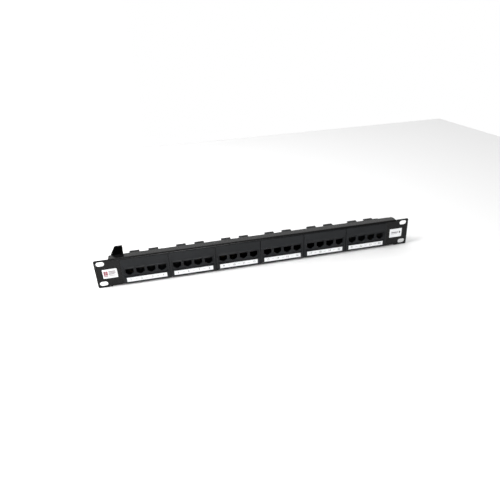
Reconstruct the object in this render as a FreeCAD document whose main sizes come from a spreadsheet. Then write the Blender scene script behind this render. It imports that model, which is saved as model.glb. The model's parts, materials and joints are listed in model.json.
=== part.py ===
import FreeCAD, Part
import os
import Sketcher
from FreeCAD import Placement, Rotation, Vector

os.makedirs("parts", exist_ok=True)

# Rack patch panel, 24 sockets in six modules of four, millimetres.
# X runs to the right, Y to the rear and Z up. The origin is the middle of the front face of the steel.

doc = FreeCAD.newDocument("PatchPanel")

DRIVING = {
    # steel panel
    "panelWidth": 482.6,
    "panelHeight": 43.6,
    "sheetThick": 1.5,
    "earCorner": 2.0,
    "flangeSpan": 441.2,
    "flangeDepth": 13.9,
    "flangeCorner": 3.0,
    "bendInside": 1.2,
    "slotSpanX": 465.1,
    "slotSpanZ": 31.75,
    "slotWidth": 7.0,
    "slotLength": 11.5,
    # six modules side by side
    "modulePitch": 68.35,
    "moduleGap": 0.7,
    "bezelProud": 1.5,
    "bezelMargin": 0.1,
    "bezelEdge": 0.7,
    "bezelWall": 1.0,
    "skirtSide": 1.7,
    "skirtInset": 2.5,
    "skirtWall": 1.2,
    "skirtDepth": 10.0,
    "skirtGap": 0.2,
    "hookLength": 8.0,
    "hookDepth": 2.0,
    "hookCatch": 0.7,
    "hookSpan": 30.0,
    # socket zone of a bezel
    "portPitch": 15.5,
    "portWidth": 11.9,
    "portTop": 3.5,
    "portHeight": 6.8,
    "latchStep": 1.6,
    "latchStepWidth": 6.4,
    "latchDrop": 1.5,
    "latchWidth": 4.0,
    "zoneTop": 7.2,
    "zoneHeight": 16.9,
    "zoneMargin": 2.4,
    "zoneRecess": 0.9,
    "frameWall": 1.2,
    "frameSlope": 1.9,
    "frameRaise": 0.7,
    "frameRoot": 0.3,
    # write-on strip
    "stripLength": 57.8,
    "stripHeight": 6.8,
    "stripMiddle": -14.3,
    "stripThick": 0.25,
    "stripRecess": 0.5,
    "stripGap": 0.2,
    # socket housings and their spring wires
    "housingWidth": 14.0,
    "housingTop": 5.2,
    "housingHeight": 14.6,
    "housingDepth": 14.5,
    "cavityDepth": 12.0,
    "cavityGap": 0.1,
    "wirePitch": 1.02,
    "wireWidth": 0.45,
    "wireThick": 0.35,
    "wireFront": 6.6,
    "wireDrop": 3.1,
    "wireRoof": 0.4,
    "wireEndGap": 2.0,
    # circuit board, its pillars and screws
    "boardWidth": 57.0,
    "boardHeight": 39.2,
    "boardThick": 1.6,
    "pillarSpanX": 50.4,
    "pillarSpanZ": 26.6,
    "pillarRadius": 2.3,
    "screwRadius": 1.1,
    "screwGrip": 5.0,
    "screwTipGap": 0.4,
    "screwGap": 0.1,
    "screwHead": 1.9,
    "screwHeadHigh": 1.3,
    "driveWide": 0.6,
    "driveReach": 1.15,
    # punch-down blocks on the rear of the board
    "blockWidth": 14.4,
    "blockHeight": 12.0,
    "blockDepth": 10.8,
    "blockSpanX": 27.6,
    "blockSpanZ": 24.2,
    "toothPitch": 2.75,
    "wireSlot": 1.1,
    "wireSlotDepth": 6.0,
    "spine": 2.2,
    "bladeWidth": 2.0,
    "bladeLength": 5.5,
    "bladeThick": 0.45,
    "bladeSlit": 0.5,
    "bladeSlitDepth": 3.4,
    "bladeGap": 0.05,
    "bladeInset": 2.6,
    "bladeRoot": 0.2,
    # paper tags on the ears
    "tagLength": 20.6,
    "tagHeight": 14.4,
    "tagThick": 0.15,
    "tagInset": 19.9,
    "tagMiddleZ": -0.45,
    # folding cable arms at the rear corners
    "armSetIn": 3.4,
    "armWidth": 16.8,
    "armTipWidth": 10.0,
    "armPlate": 2.0,
    "armRim": 0.7,
    "armRimWide": 1.3,
    "armReach": 26.5,
    "armTipLean": 1.0,
    "armNeck": 4.8,
    "armStraight": 14.8,
    "armTipRadius": 3.2,
    "tieSlotLong": 5.0,
    "tieSlotWide": 1.8,
    "tieSlotRise": 5.5,
    "tieSlotSpan": 7.5,
    "pivotY": 16.9,
    "pivotZ": 7.0,
    "hubRadius": 2.4,
    "pinRadius": 1.2,
    "pinHead": 2.0,
    "pinHeadThick": 0.6,
    "pinTail": 0.6,
    "runningGap": 0.05,
    "sideGap": 0.35,
    "lugSetIn": 3.6,
    "lugSpan": 12.7,
    "lugThick": 1.2,
    "lugRadius": 2.6,
    "lugRoot": 16.0,
    # how far a cutting tool runs past the face that it opens
    "overrun": 1.0,
}

# Sizes that follow from the driving ones
FACE_WIDTH = "(modulePitch - moduleGap)"
FACE_HEIGHT = "(panelHeight - 2 * (bendInside + sheetThick + bezelMargin))"
SKIRT_WIDTH = f"({FACE_WIDTH} - 2 * skirtSide)"
SKIRT_HEIGHT = f"({FACE_HEIGHT} - 2 * skirtInset)"
BOARD_FRONT = "(bezelWall + housingDepth)"
BOARD_REAR = f"({BOARD_FRONT} + boardThick)"
BLOCK_REAR = f"({BOARD_REAR} + blockDepth)"
ARM_OUTER = "(flangeSpan / 2 - armSetIn)"
ARM_INNER = f"({ARM_OUTER} - armWidth)"
ARM_TIP_INNER = f"({ARM_INNER} - armTipLean)"
ARM_TIP_OUTER = f"({ARM_INNER} + armTipWidth)"
LUG_OUTER = "(flangeSpan / 2 - lugSetIn)"
LUG_INNER = f"({LUG_OUTER} - lugSpan)"

MODULES = 6
PORTS = 4
WIRES = 8
TEETH = 4

sheet = doc.addObject("Spreadsheet::Sheet", "sizes")
for line, (alias, value) in enumerate(DRIVING.items(), start=1):
    sheet.set(f"A{line}", alias)
    sheet.set(f"B{line}", str(value))
    sheet.setAlias(f"B{line}", alias)
doc.recompute()


def full(text):
    """Puts the sheet's name before each alias in an expression."""
    words = []
    word = ""
    for letter in text + " ":
        if letter.isalnum():
            word += letter
            continue
        words.append(f"sizes.{word}" if word in DRIVING else word)
        words.append(letter)
        word = ""
    return "".join(words).strip()


def value_of(text):
    return float(sheet.evalExpression(full(text)))


def bind(thing, prop, text):
    thing.setExpression(prop, full(text))


def place(thing, x="0", y="0", z="0"):
    bind(thing, "Placement.Base.x", x)
    bind(thing, "Placement.Base.y", y)
    bind(thing, "Placement.Base.z", z)
    return thing


def box(name, x, y, z, length, depth, height):
    """A block given by its low corner and its three sides."""
    thing = doc.addObject("Part::Box", name)
    bind(thing, "Length", length)
    bind(thing, "Width", depth)
    bind(thing, "Height", height)
    return place(thing, x, y, z)


def rod(name, x, y, z, radius, length, turn):
    """A round bar from x, y, z along X or Y."""
    thing = doc.addObject("Part::Cylinder", name)
    bind(thing, "Radius", radius)
    bind(thing, "Height", length)
    thing.Placement = Placement(Vector(), turn)
    return place(thing, x, y, z)


ALONG_X = Rotation(Vector(0, 1, 0), 90)
ALONG_Y = Rotation(Vector(1, 0, 0), -90)
FACING_X = Rotation(Vector(1, 1, 1), 120)  # sketch across goes to Y, sketch up to Z
FACING_FRONT = Rotation(Vector(1, 0, 0), 90)  # sketch across goes to X, sketch up to Z


def draw(sketch, points):
    """A closed outline through points, each held by two expressions."""
    start = sketch.GeometryCount
    spots = [Vector(value_of(across), value_of(up), 0) for across, up in points]
    count = len(spots)
    for index in range(count):
        sketch.addGeometry(Part.LineSegment(spots[index], spots[(index + 1) % count]), False)
    for index in range(count):
        follower = start + (index + 1) % count
        sketch.addConstraint(Sketcher.Constraint("Coincident", start + index, 2, follower, 1))
    for index, (across, up) in enumerate(points, start=start):
        spot = spots[index - start]
        for kind, text, size in (("DistanceX", across, spot.x), ("DistanceY", up, spot.y)):
            number = sketch.addConstraint(Sketcher.Constraint(kind, -1, 1, index, 1, size))
            bind(sketch, f"Constraints[{number}]", text)


def prism(name, turn, points, length, x="0", y="0", z="0"):
    """An outline pushed along its own normal."""
    sketch = doc.addObject("Sketcher::SketchObject", f"{name}_outline")
    sketch.Placement = Placement(Vector(), turn)
    draw(sketch, points)
    thing = doc.addObject("Part::Extrusion", name)
    thing.Base = sketch
    thing.DirMode = "Normal"
    thing.Solid = True
    bind(thing, "LengthFwd", length)
    return place(thing, x, y, z)


def join(name, pieces):
    thing = doc.addObject("Part::MultiFuse", name)
    thing.Shapes = pieces
    return thing


def group(name, pieces):
    thing = doc.addObject("Part::Compound", name)
    thing.Links = pieces
    return thing


def cut(name, base, tools):
    thing = doc.addObject("Part::Cut", name)
    thing.Base = base
    thing.Tool = tools[0] if len(tools) == 1 else group(f"{name}_tools", tools)
    return thing


def shifted(name, source, x="0", y="0", z="0"):
    return place(group(name, [source]), x, y, z)


def row(name, source, count, pitch, axis="x"):
    """Evenly spaced copies of one piece, about its own middle."""
    copies = []
    for index in range(count):
        offset = {axis: f"{pitch} * ({index} - {(count - 1) / 2})"}
        copies.append(shifted(f"{name}_{index + 1}", source, **offset))
    return group(name, copies)


def mirrored(name, source):
    thing = doc.addObject("Part::Mirroring", name)
    thing.Source = source
    thing.Normal = Vector(1, 0, 0)
    return thing


nodes = {}


def node(name, thing):
    """Names a finished sub-part, whose label is its file's name."""
    thing.Label = name
    nodes[name] = thing


def for_each_module(name, source):
    """The same piece in every module, from left to right."""
    for index in range(MODULES):
        offset = f"modulePitch * ({index} - {(MODULES - 1) / 2})"
        node(f"{name}_{index + 1}", shifted(f"{name}_{index + 1}", source, x=offset))


def edges_where(shape, test):
    """Names of the straight edges whose middle and direction pass a test."""
    found = []
    for number, edge in enumerate(shape.Edges, start=1):
        if len(edge.Vertexes) != 2:
            continue
        first, last = (vertex.Point for vertex in edge.Vertexes)
        if test((first + last) * 0.5, last - first):
            found.append(f"Edge{number}")
    return found


def near(one, other):
    return abs(one - other) < 1e-4


# Steel panel: a channel with flat ears, bent from one sheet

body = doc.addObject("PartDesign::Body", "bentSheet")


def plane(role):
    return next(feature for feature in body.Origin.OriginFeatures if feature.Role == role)


def panel_sketch(name, role, outlines):
    sketch = body.newObject("Sketcher::SketchObject", name)
    sketch.AttachmentSupport = [(plane(role), "")]
    sketch.MapMode = "FlatFace"
    for points in outlines:
        draw(sketch, points)
    return sketch


def round_off(name, base, radius, test):
    """Rounds the edges of the body that pass the test."""
    doc.recompute()
    feature = body.newObject("PartDesign::Fillet", name)
    feature.Base = (base, edges_where(base.Shape, test))
    bind(feature, "Radius", radius)
    return feature


channel = body.newObject("PartDesign::Pad", "channel")
channel.Profile = panel_sketch("channelProfile", "YZ_Plane", [[
    ("0", "-panelHeight / 2"),
    ("flangeDepth", "-panelHeight / 2"),
    ("flangeDepth", "-panelHeight / 2 + sheetThick"),
    ("sheetThick", "-panelHeight / 2 + sheetThick"),
    ("sheetThick", "panelHeight / 2 - sheetThick"),
    ("flangeDepth", "panelHeight / 2 - sheetThick"),
    ("flangeDepth", "panelHeight / 2"),
    ("0", "panelHeight / 2"),
]])
channel.Midplane = True
bind(channel, "Length", "flangeSpan")

height = value_of("panelHeight")
thick = value_of("sheetThick")
depth = value_of("flangeDepth")
half_span = value_of("flangeSpan / 2")


def inside_bend(middle, along):
    level = near(abs(middle.z), height / 2 - thick)
    return level and near(abs(along.x), 2 * half_span) and near(middle.y, thick)


def outside_bend(middle, along):
    return near(abs(along.x), 2 * half_span) and near(middle.y, 0) and near(abs(middle.z), height / 2)


def flange_corner(middle, along):
    return near(abs(middle.x), half_span) and near(middle.y, depth) and near(along.x, 0) and near(along.y, 0)


inner = round_off("insideBends", channel, "bendInside", inside_bend)
outer = round_off("outsideBends", inner, "bendInside + sheetThick", outside_bend)
corners = round_off("flangeCorners", outer, "flangeCorner", flange_corner)

ears = body.newObject("PartDesign::Pad", "ears")
ears.Profile = panel_sketch("earOutlines", "XZ_Plane", [
    [
        (f"{side} * flangeSpan / 2", "-panelHeight / 2"),
        (f"{side} * panelWidth / 2", "-panelHeight / 2"),
        (f"{side} * panelWidth / 2", "panelHeight / 2"),
        (f"{side} * flangeSpan / 2", "panelHeight / 2"),
    ]
    for side in (-1, 1)
])
ears.Reversed = True
bind(ears, "Length", "sheetThick")
half_width = value_of("panelWidth / 2")


def ear_corner(middle, along):
    return near(abs(middle.x), half_width) and near(abs(middle.z), height / 2) and near(abs(along.y), thick)


blank = round_off("earCorners", ears, "earCorner", ear_corner)
body.Tip = blank

openings = []
for side in (-1, 1):
    for level in (-1, 1):
        label = f"slot_{'left' if side < 0 else 'right'}_{'low' if level < 0 else 'high'}"
        middle_x = f"{side} * slotSpanX / 2"
        middle_z = f"{level} * slotSpanZ / 2"
        straight = "(slotLength - slotWidth)"
        openings.append(box(
            f"{label}_middle", f"{middle_x} - {straight} / 2", "-sheetThick", f"{middle_z} - slotWidth / 2",
            straight, "3 * sheetThick", "slotWidth"))
        for end in (-1, 1):
            openings.append(rod(
                f"{label}_end{end + 1}", f"{middle_x} + {end} * {straight} / 2", "-sheetThick", middle_z,
                "slotWidth / 2", "3 * sheetThick", ALONG_Y))
for index in range(MODULES):
    openings.append(box(
        f"window_{index + 1}",
        f"modulePitch * ({index} - {(MODULES - 1) / 2}) - {SKIRT_WIDTH} / 2 - skirtGap", "-sheetThick",
        f"-{SKIRT_HEIGHT} / 2 - skirtGap", f"{SKIRT_WIDTH} + 2 * skirtGap", "3 * sheetThick",
        f"{SKIRT_HEIGHT} + 2 * skirtGap"))
node("front_panel", cut("frontPanel", body, openings))

# Bezel: a moulded face with a skirt that snaps into its window

face = box(
    "face", f"-{FACE_WIDTH} / 2", "-bezelProud", f"-{FACE_HEIGHT} / 2",
    FACE_WIDTH, "bezelProud", FACE_HEIGHT)
doc.recompute()
proud = value_of("bezelProud")
soft_face = doc.addObject("Part::Fillet", "softFace")
soft_face.Base = face
edge_radius = value_of("bezelEdge")
soft_face.Edges = [
    (int(edge[4:]), edge_radius, edge_radius)
    for edge in edges_where(face.Shape, lambda middle, along: near(middle.y, -proud))
]
skirt = box(
    "skirt", f"-{SKIRT_WIDTH} / 2", "0", f"-{SKIRT_HEIGHT} / 2", SKIRT_WIDTH, "skirtDepth", SKIRT_HEIGHT)
skirt_space = box(
    "skirtSpace", f"-{SKIRT_WIDTH} / 2 + skirtWall", "bezelWall", f"-{SKIRT_HEIGHT} / 2 + skirtWall",
    f"{SKIRT_WIDTH} - 2 * skirtWall", "skirtDepth", f"{SKIRT_HEIGHT} - 2 * skirtWall")
hooks = []
for side in (-1, 1):
    for level in (-1, 1):
        root = f"{SKIRT_HEIGHT} / 2 - skirtWall / 2"
        low = root if level > 0 else f"-({root}) - hookCatch - skirtWall / 2"
        hooks.append(box(
            f"hook{side + 1}{level + 1}", f"{side} * hookSpan / 2 - hookLength / 2",
            "sheetThick + skirtGap / 2", low, "hookLength", "hookDepth", "hookCatch + skirtWall / 2"))
pillars = []
pillar_holes = []
for side in (-1, 1):
    for level in (-1, 1):
        spot = (f"{side} * pillarSpanX / 2", f"{level} * pillarSpanZ / 2")
        pillars.append(rod(
            f"pillar{side + 1}{level + 1}", spot[0], "0", spot[1],
            "pillarRadius", BOARD_FRONT, ALONG_Y))
        pillar_holes.append(rod(
            f"pillarHole{side + 1}{level + 1}", spot[0], f"{BOARD_FRONT} - screwGrip", spot[1],
            "screwRadius", "screwGrip + overrun", ALONG_Y))
zone = box(
    "socketZone", f"-{FACE_WIDTH} / 2 + zoneMargin", "-bezelProud - overrun", "zoneTop - zoneHeight",
    f"{FACE_WIDTH} - 2 * zoneMargin", "overrun + zoneRecess", "zoneHeight")
strip_seat = box(
    "stripSeat", "-stripLength / 2 - stripGap", "-bezelProud - overrun",
    "stripMiddle - stripHeight / 2 - stripGap", "stripLength + 2 * stripGap", "overrun + stripRecess",
    "stripHeight + 2 * stripGap")
FRAME_TOP = "portTop + frameWall"
FRAME_LOW = "portTop - portHeight - latchStep - latchDrop - frameWall"
frame = prism("socketFrame", FACING_X, [
    ("-bezelProud + zoneRecess + frameRoot", FRAME_LOW),
    ("-bezelProud + zoneRecess + frameRoot", f"{FRAME_TOP} + frameSlope / 3"),
    ("-bezelProud + zoneRecess", f"{FRAME_TOP} + frameSlope / 3"),
    ("-bezelProud + zoneRecess - frameRaise", f"{FRAME_TOP} - frameSlope / 3"),
    ("-bezelProud + zoneRecess - frameRaise", f"{FRAME_LOW} + frameSlope / 3"),
    ("-bezelProud + zoneRecess", FRAME_LOW),
], "portWidth + 2 * frameWall", x="-portWidth / 2 - frameWall")
frames = row("frames", frame, PORTS, "portPitch")


def socket_outline(gap):
    """Half-width and level of each corner of a socket, mirrored about its middle."""
    low = "portTop - portHeight"
    half = [
        (f"portWidth / 2 + {gap}", f"portTop + {gap}"),
        (f"portWidth / 2 + {gap}", f"{low} - {gap}"),
        (f"latchStepWidth / 2 + {gap}", f"{low} - latchStep - {gap}"),
        (f"latchWidth / 2 + {gap}", f"{low} - latchStep - latchDrop - {gap}"),
    ]
    return half + [(f"-({across})", up) for across, up in reversed(half)]


mouth = prism(
    "mouth", FACING_FRONT, socket_outline("0"), "bezelProud + bezelWall + 2 * overrun",
    y="bezelWall + overrun")
mouths = row("mouths", mouth, PORTS, "portPitch")
shell = cut("shell", join("faceAndSkirt", [soft_face, skirt]), [skirt_space, zone, strip_seat])
bezel = cut("bezel", join("bezelSolid", [shell, frames] + hooks + pillars), [mouths] + pillar_holes)
for_each_module("bezel", bezel)

# Write-on strip in its seat under the sockets

for_each_module("label_strip", box(
    "strip", "-stripLength / 2", "-bezelProud + stripRecess - stripThick", "stripMiddle - stripHeight / 2",
    "stripLength", "stripThick", "stripHeight"))

# Socket housings, open to the front, seated between bezel and board

housing_block = box(
    "housingBlock", "-housingWidth / 2", "bezelWall", "housingTop - housingHeight",
    "housingWidth", "housingDepth", "housingHeight")
cavity = prism(
    "cavity", FACING_FRONT, socket_outline("cavityGap"), "cavityDepth + overrun",
    y="bezelWall + cavityDepth")
housing = cut("housing", housing_block, [cavity])
for_each_module("socket_housings", row("housings", housing, PORTS, "portPitch"))

# Spring wires, eight in each socket, bent back from the front of the roof

ROOF = "portTop + cavityGap - wireRoof"
BACK = "bezelWall + cavityDepth"
WIRE_END = f"{BACK} - wireEndGap"
wire = prism("springWire", FACING_X, [
    (BACK, f"{ROOF} - wireThick"),
    (BACK, ROOF),
    ("wireFront", ROOF),
    ("wireFront - wireThick", f"{ROOF} - wireThick / 2"),
    ("wireFront - wireThick", f"{ROOF} - wireThick"),
    (WIRE_END, f"{ROOF} - wireDrop - wireThick"),
    (WIRE_END, f"{ROOF} - wireDrop"),
    ("wireFront + wireThick", f"{ROOF} - wireThick"),
], "wireWidth", x="-wireWidth / 2")
for_each_module(
    "spring_wires", row("wireSets", row("wires", wire, WIRES, "wirePitch"), PORTS, "portPitch"))

# Circuit board behind the housings

board_holes = []
screws = []
for side in (-1, 1):
    for level in (-1, 1):
        spot = (f"{side} * pillarSpanX / 2", f"{level} * pillarSpanZ / 2")
        board_holes.append(rod(
            f"boardHole{side + 1}{level + 1}", spot[0], f"{BOARD_FRONT} - overrun", spot[1],
            "screwRadius + screwGap", "boardThick + 2 * overrun", ALONG_Y))
        shank = rod(
            f"shank{side + 1}{level + 1}", spot[0], f"{BOARD_FRONT} - screwGrip + screwTipGap", spot[1],
            "screwRadius", "screwGrip - screwTipGap + boardThick + screwHeadHigh / 2", ALONG_Y)
        head = rod(
            f"head{side + 1}{level + 1}", spot[0], BOARD_REAR, spot[1],
            "screwHead", "screwHeadHigh", ALONG_Y)
        drives = []
        for across, up in (("driveReach", "driveWide / 2"), ("driveWide / 2", "driveReach")):
            drives.append(box(
                f"drive{side + 1}{level + 1}_{len(drives)}", f"{spot[0]} - {across}",
                f"{BOARD_REAR} + screwHeadHigh / 2", f"{spot[1]} - {up}", f"2 * {across}",
                "screwHeadHigh", f"2 * {up}"))
        whole = join(f"screwSolid{side + 1}{level + 1}", [shank, head])
        screws.append(cut(f"screw{side + 1}{level + 1}", whole, drives))
board_blank = box(
    "boardBlank", "-boardWidth / 2", BOARD_FRONT, "-boardHeight / 2", "boardWidth", "boardThick",
    "boardHeight")
for_each_module("circuit_board", cut("board", board_blank, board_holes))
node("board_screws", row("boardScrews", group("screwsOfOne", screws), MODULES, "modulePitch"))

# Punch-down blocks: a block for each socket, with four wire slots on each side of its spine

block_blank = box(
    "blockBlank", "-blockWidth / 2", BOARD_REAR, "-blockHeight / 2", "blockWidth", "blockDepth",
    "blockHeight")
slot_tools = []
blades = []
for side in (-1, 1):
    slot_tool = box(
        f"wireSlot{side + 1}", "spine / 2" if side > 0 else "-blockWidth / 2 - overrun",
        f"{BLOCK_REAR} - wireSlotDepth", "-wireSlot / 2", "blockWidth / 2 - spine / 2 + overrun",
        "wireSlotDepth + overrun", "wireSlot")
    blade_x = f"{side} * (spine / 2 + bladeInset) - bladeThick / 2"
    blade_y = f"{BLOCK_REAR} - wireSlotDepth - bladeRoot"
    blade_seat = box(
        f"bladeSeat{side + 1}", f"{blade_x} - bladeGap", blade_y, "-bladeWidth / 2 - bladeGap",
        "bladeThick + 2 * bladeGap", "wireSlotDepth + bladeRoot + overrun", "bladeWidth + 2 * bladeGap")
    slot_tools.append(row(f"slots{side + 1}", slot_tool, TEETH, "toothPitch", "z"))
    slot_tools.append(row(f"seats{side + 1}", blade_seat, TEETH, "toothPitch", "z"))
    blade = prism(f"blade{side + 1}", FACING_X, [
        ("0", "-bladeWidth / 2"),
        ("bladeLength", "-bladeWidth / 2"),
        ("bladeLength", "-bladeSlit"),
        ("bladeLength - bladeSlit", "-bladeSlit / 2"),
        ("bladeLength - bladeSlitDepth", "-bladeSlit / 2"),
        ("bladeLength - bladeSlitDepth", "bladeSlit / 2"),
        ("bladeLength - bladeSlit", "bladeSlit / 2"),
        ("bladeLength", "bladeSlit"),
        ("bladeLength", "bladeWidth / 2"),
        ("0", "bladeWidth / 2"),
    ], "bladeThick", x=blade_x, y=blade_y)
    blades.append(row(f"blades{side + 1}", blade, TEETH, "toothPitch", "z"))
block = cut("block", block_blank, slot_tools)
blade_set = group("bladeSet", blades)
levels = (("lower", -1), ("upper", 1))
for level_name, level in levels:
    pair = row(f"{level_name}Pair", block, 2, "blockSpanX")
    lifted = shifted(f"{level_name}Blocks", pair, z=f"{level} * blockSpanZ / 2")
    for_each_module(f"{level_name}_punch_blocks", lifted)
blade_pairs = [
    shifted(f"{level_name}Blades", row(f"{level_name}BladePair", blade_set, 2, "blockSpanX"),
            z=f"{level} * blockSpanZ / 2")
    for level_name, level in levels
]
for_each_module("contact_blades", group("bladeSets", blade_pairs))

# Paper tags stuck on the ears

for side_name, side in (("left", -1), ("right", 1)):
    node(f"tag_{side_name}", box(
        f"tag{side_name.title()}", f"{side} * (panelWidth / 2 - tagInset) - tagLength / 2", "-tagThick",
        "tagMiddleZ - tagHeight / 2", "tagLength", "tagThick", "tagHeight"))

# Cable arms on pivot pins in brackets welded to the back of the steel, drawn for the right side

root_plate = box(
    "rootPlate", LUG_INNER, "sheetThick", "pivotZ - lugRoot / 2", "lugSpan", "lugThick", "lugRoot")
lugs = []
for label, start in (("inner", LUG_INNER), ("outer", f"{LUG_OUTER} - lugThick")):
    lugs.append(box(
        f"{label}Lug", start, "sheetThick", "pivotZ - lugRadius", "lugThick", "pivotY - sheetThick",
        "2 * lugRadius"))
    lugs.append(rod(f"{label}LugEnd", start, "pivotY", "pivotZ", "lugRadius", "lugThick", ALONG_X))
pin_hole = rod(
    "pinHole", f"{LUG_INNER} - overrun", "pivotY", "pivotZ", "pinRadius", "lugSpan + 2 * overrun", ALONG_X)
bracket = cut("bracket", join("bracketSolid", [root_plate] + lugs), [pin_hole])
pin_shank = rod(
    "pinShank", f"{LUG_INNER} - pinTail", "pivotY", "pivotZ", "pinRadius",
    "lugSpan + pinTail + pinHeadThick", ALONG_X)
pin_cap = rod("pinCap", LUG_OUTER, "pivotY", "pivotZ", "pinHead", "pinHeadThick", ALONG_X)
pin = join("pin", [pin_shank, pin_cap])

NECK_INNER = f"{LUG_INNER} + lugThick + sideGap"
NECK_OUTER = f"{LUG_OUTER} - lugThick - sideGap"
ARM_FRONT = "pivotY - armPlate / 2 - armRim"
ARM_TOP = "pivotZ + armReach"
blade_plate = prism("armBlade", FACING_FRONT, [
    (NECK_INNER, "pivotZ"),
    (NECK_OUTER, "pivotZ"),
    (NECK_OUTER, "pivotZ + armNeck"),
    (ARM_OUTER, "pivotZ + armNeck"),
    (ARM_OUTER, "pivotZ + armStraight"),
    (ARM_TIP_OUTER, ARM_TOP),
    (ARM_TIP_INNER, ARM_TOP),
    (ARM_INNER, "pivotZ + armNeck"),
    (NECK_INNER, "pivotZ + armNeck"),
], "armPlate + armRim", y="pivotY + armPlate / 2")
doc.recompute()
arm_top = value_of(ARM_TOP)
tip_outer = value_of(ARM_TIP_OUTER)
tip_radius = value_of("armTipRadius")


def tip_corner(middle, along):
    return near(middle.x, tip_outer) and near(middle.z, arm_top)


round_blade = doc.addObject("Part::Fillet", "roundBlade")
round_blade.Base = blade_plate
round_blade.Edges = [
    (int(edge[4:]), tip_radius, tip_radius) for edge in edges_where(blade_plate.Shape, tip_corner)
]
hollow = prism("armHollow", FACING_FRONT, [
    (f"{ARM_INNER} + armRimWide", "pivotZ + armNeck + armRimWide"),
    (f"{ARM_OUTER} - armRimWide", "pivotZ + armNeck + armRimWide"),
    (f"{ARM_OUTER} - armRimWide", "pivotZ + armStraight"),
    (f"{ARM_TIP_OUTER} - armRimWide", f"{ARM_TOP} - armRimWide"),
    (f"{ARM_TIP_INNER} + armRimWide", f"{ARM_TOP} - armRimWide"),
], "overrun + armRim", y="pivotY - armPlate / 2")
arm_middle = f"({ARM_INNER} + {ARM_OUTER}) / 2"
tie_slots = [
    box(
        f"tieSlot{side + 1}", f"{arm_middle} + {side} * tieSlotSpan / 2 - tieSlotLong / 2",
        f"{ARM_FRONT} - overrun", "pivotZ + armNeck + tieSlotRise", "tieSlotLong",
        "armPlate + armRim + 2 * overrun", "tieSlotWide")
    for side in (-1, 1)
]
hub = rod("hub", NECK_INNER, "pivotY", "pivotZ", "hubRadius", f"{NECK_OUTER} - ({NECK_INNER})", ALONG_X)
bore = rod(
    "hubBore", LUG_INNER, "pivotY", "pivotZ", "pinRadius + runningGap", "lugSpan", ALONG_X)
arm = cut("arm", join("armSolid", [round_blade, hub]), [hollow, bore] + tie_slots)

# The right arm is folded back level, and the left one stands up against its stop
folded = group("foldedArm", [arm])
folded.Placement = Placement(Vector(), Rotation(Vector(1, 0, 0), -90))
bind(folded, "Placement.Base.y", "pivotY - pivotZ")
bind(folded, "Placement.Base.z", "pivotZ + pivotY")
node("cable_arm_right", folded)
node("cable_arm_left", mirrored("raisedArm", arm))
node("arm_bracket_right", bracket)
node("arm_bracket_left", mirrored("leftBracket", bracket))
node("pivot_pin_right", pin)
node("pivot_pin_left", mirrored("leftPin", pin))

doc.recompute()
failed = [thing.Name for thing in doc.Objects if {"Invalid", "Error"} & set(thing.State)]
if failed:
    raise RuntimeError(f"not built: {failed}")
for name, thing in nodes.items():
    shape = thing.Shape
    if shape.isNull() or not shape.isValid() or not shape.Solids:
        raise RuntimeError(f"{name} has no valid solid")
    shape.exportStep(f"parts/{name}.step")
    print(f"{name}: {len(shape.Solids)} solids, {shape.Volume / 1000:.2f} cm3")
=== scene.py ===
import json
import math
import bmesh
import bpy
from mathutils import Matrix, Vector


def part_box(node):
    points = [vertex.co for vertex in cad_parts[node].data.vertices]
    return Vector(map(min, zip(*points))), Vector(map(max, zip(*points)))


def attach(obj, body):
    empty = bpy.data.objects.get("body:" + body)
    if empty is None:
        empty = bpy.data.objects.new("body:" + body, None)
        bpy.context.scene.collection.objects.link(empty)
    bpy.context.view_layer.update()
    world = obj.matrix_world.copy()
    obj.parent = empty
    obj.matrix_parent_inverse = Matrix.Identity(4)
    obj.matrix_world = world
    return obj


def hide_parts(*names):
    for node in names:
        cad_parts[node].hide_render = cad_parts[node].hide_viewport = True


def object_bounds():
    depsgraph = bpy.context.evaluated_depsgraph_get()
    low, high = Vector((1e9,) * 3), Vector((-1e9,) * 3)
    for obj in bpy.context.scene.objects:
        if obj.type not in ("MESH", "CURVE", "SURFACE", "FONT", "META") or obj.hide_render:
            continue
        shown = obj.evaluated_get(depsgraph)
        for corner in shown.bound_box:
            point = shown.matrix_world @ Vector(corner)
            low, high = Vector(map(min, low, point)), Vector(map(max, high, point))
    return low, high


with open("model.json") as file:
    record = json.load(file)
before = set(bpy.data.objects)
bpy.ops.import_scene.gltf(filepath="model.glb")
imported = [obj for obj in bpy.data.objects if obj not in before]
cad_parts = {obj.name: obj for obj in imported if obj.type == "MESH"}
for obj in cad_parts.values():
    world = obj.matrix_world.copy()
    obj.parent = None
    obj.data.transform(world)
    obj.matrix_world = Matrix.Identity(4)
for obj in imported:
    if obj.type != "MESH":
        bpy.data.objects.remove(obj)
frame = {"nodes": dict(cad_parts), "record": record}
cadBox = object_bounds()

scene = bpy.context.scene
nodes = frame["nodes"]
mm = 0.001
moduleCount = 6
modules = range(1, moduleCount + 1)
mergeGap = 0.002 * mm  # corners closer than this are one
flatAngle = 0.5  # degrees; faces that turn less than this are one flat face
print("frame loaded,", len(nodes), "nodes")


# small helpers for node trees, shared by materials and geometry

def addNode(tree, kind, inputs=None, **settings):
    made = tree.nodes.new(kind)
    for name, value in settings.items():
        setattr(made, name, value)
    for name, value in (inputs or {}).items():
        if isinstance(value, bpy.types.NodeSocket):
            tree.links.new(value, made.inputs[name])
        else:
            made.inputs[name].default_value = value
    return made


def calculate(tree, operation, first, second=0.0, third=0.0):
    return addNode(tree, "ShaderNodeMath", {0: first, 1: second, 2: third}, operation=operation).outputs[0]


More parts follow.
